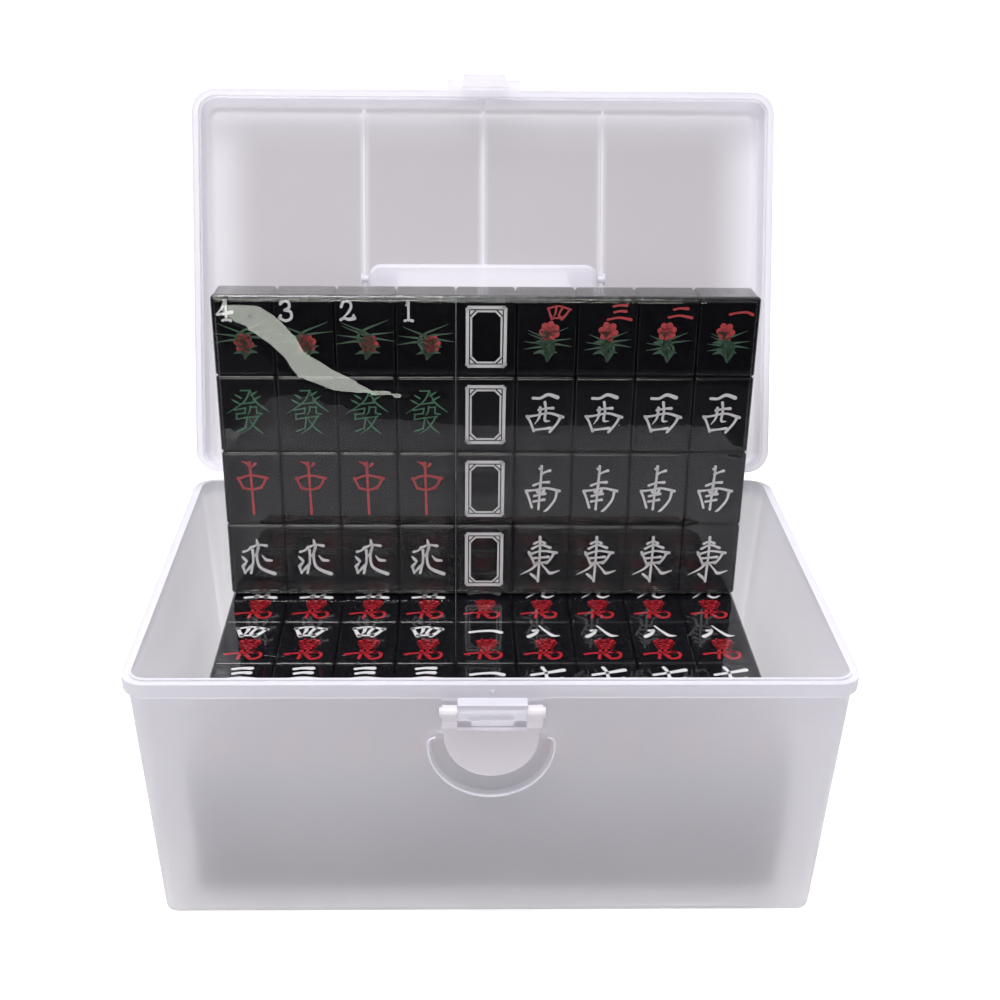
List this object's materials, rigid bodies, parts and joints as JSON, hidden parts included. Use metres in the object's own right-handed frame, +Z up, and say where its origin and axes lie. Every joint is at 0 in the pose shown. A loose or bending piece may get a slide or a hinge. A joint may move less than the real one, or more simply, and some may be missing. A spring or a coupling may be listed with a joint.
{
  "type": "mahjong case",
  "caption": "Frosted translucent plastic case with a hinged lid, flip latch and carrying handle, holding film-wrapped packs of black mahjong tiles.",
  "frame": {"origin": "on the ground under the middle of the box, left to right and front to back of the rim", "axes": "+X to the right seen from the latch side, +Y towards the hinges, +Z up; the latch is on the -Y side"},
  "size_m": [0.31, 0.3143, 0.3241],
  "materials": {
    "case_frosted": "frosted translucent polypropylene",
    "latch_plastic": "natural translucent polypropylene, satin",
    "handle_plastic": "natural translucent polypropylene, satin",
    "pin_steel": "plain drawn wire",
    "tile_black": "polished black melamine",
    "film_clear": "clear shrink film"
  },
  "bodies": {
    "case": {"case_body": "case_frosted", "hinge_pin_left": "pin_steel", "hinge_pin_right": "pin_steel", "latch_pin": "latch_plastic"},
    "lid_body": {"lid": "case_frosted", "handle_pin_left": "handle_plastic", "handle_pin_right": "handle_plastic"},
    "latch": {"latch_flap": "latch_plastic"},
    "handle": {"carry_handle": "handle_plastic"},
    "pack_bamboo": {"tiles_bamboo_1": "tile_black", "tiles_bamboo_2": "tile_black", "tiles_bamboo_3": "tile_black", "tiles_bamboo_4": "tile_black", "tiles_bamboo_5": "tile_black", "tiles_bamboo_6": "tile_black", "tiles_bamboo_7": "tile_black", "tiles_bamboo_8": "tile_black", "tiles_bamboo_9": "tile_black", "film_bamboo": "film_clear"},
    "pack_circle": {"tiles_circle_1": "tile_black", "tiles_circle_2": "tile_black", "tiles_circle_3": "tile_black", "tiles_circle_4": "tile_black", "tiles_circle_5": "tile_black", "tiles_circle_6": "tile_black", "tiles_circle_7": "tile_black", "tiles_circle_8": "tile_black", "tiles_circle_9": "tile_black", "film_circle": "film_clear"},
    "pack_character": {"tiles_character_1": "tile_black", "tiles_character_2": "tile_black", "tiles_character_3": "tile_black", "tiles_character_4": "tile_black", "tiles_character_5": "tile_black", "tiles_character_6": "tile_black", "tiles_character_7": "tile_black", "tiles_character_8": "tile_black", "tiles_character_9": "tile_black", "film_character": "film_clear"},
    "pack_honours": {"tiles_flower": "tile_black", "tiles_season": "tile_black", "tiles_white_dragon": "tile_black", "tiles_green_dragon": "tile_black", "tiles_red_dragon": "tile_black", "tiles_east_wind": "tile_black", "tiles_south_wind": "tile_black", "tiles_west_wind": "tile_black", "tiles_north_wind": "tile_black", "film_honours": "film_clear"}
  },
  "joints": [
    {"name": "lid_hinge", "type": "hinge", "parent": "case", "child": "lid_body", "pos_m": [0, 0.1033, 0.13015], "axis": [1, 0, 0], "range_deg": [0, 115]},
    {"name": "latch_swing", "type": "hinge", "parent": "case", "child": "latch", "pos_m": [0, -0.104, 0.1189], "axis": [-1, 0, 0], "range_deg": [0, 180]},
    {"name": "handle_swing", "type": "hinge", "parent": "lid_body", "child": "handle", "pos_m": [0, 0.16452, 0.2211], "axis": [1, 0, 0], "range_deg": [-25, 65]},
    {"name": "bamboo_lift", "type": "slide", "parent": "case", "child": "pack_bamboo", "axis": [0, 0, 1], "range_m": [0, 0.011]},
    {"name": "circle_lift", "type": "slide", "parent": "pack_bamboo", "child": "pack_circle", "axis": [0, 0, 1], "range_m": [0, 0.011]},
    {"name": "character_lift", "type": "slide", "parent": "pack_circle", "child": "pack_character", "axis": [0, 0, 1], "range_m": [0, 0.011]},
    {"name": "honours_tip", "type": "hinge", "parent": "pack_character", "child": "pack_honours", "pos_m": [0, 0.06867, 0.07814], "axis": [1, 0, 0], "range_deg": [0, 94.5]}
  ],
  "couplings": [
    {"joint": "honours_tip", "follows": "lid_hinge", "ratio": 0.8217}
  ]
}
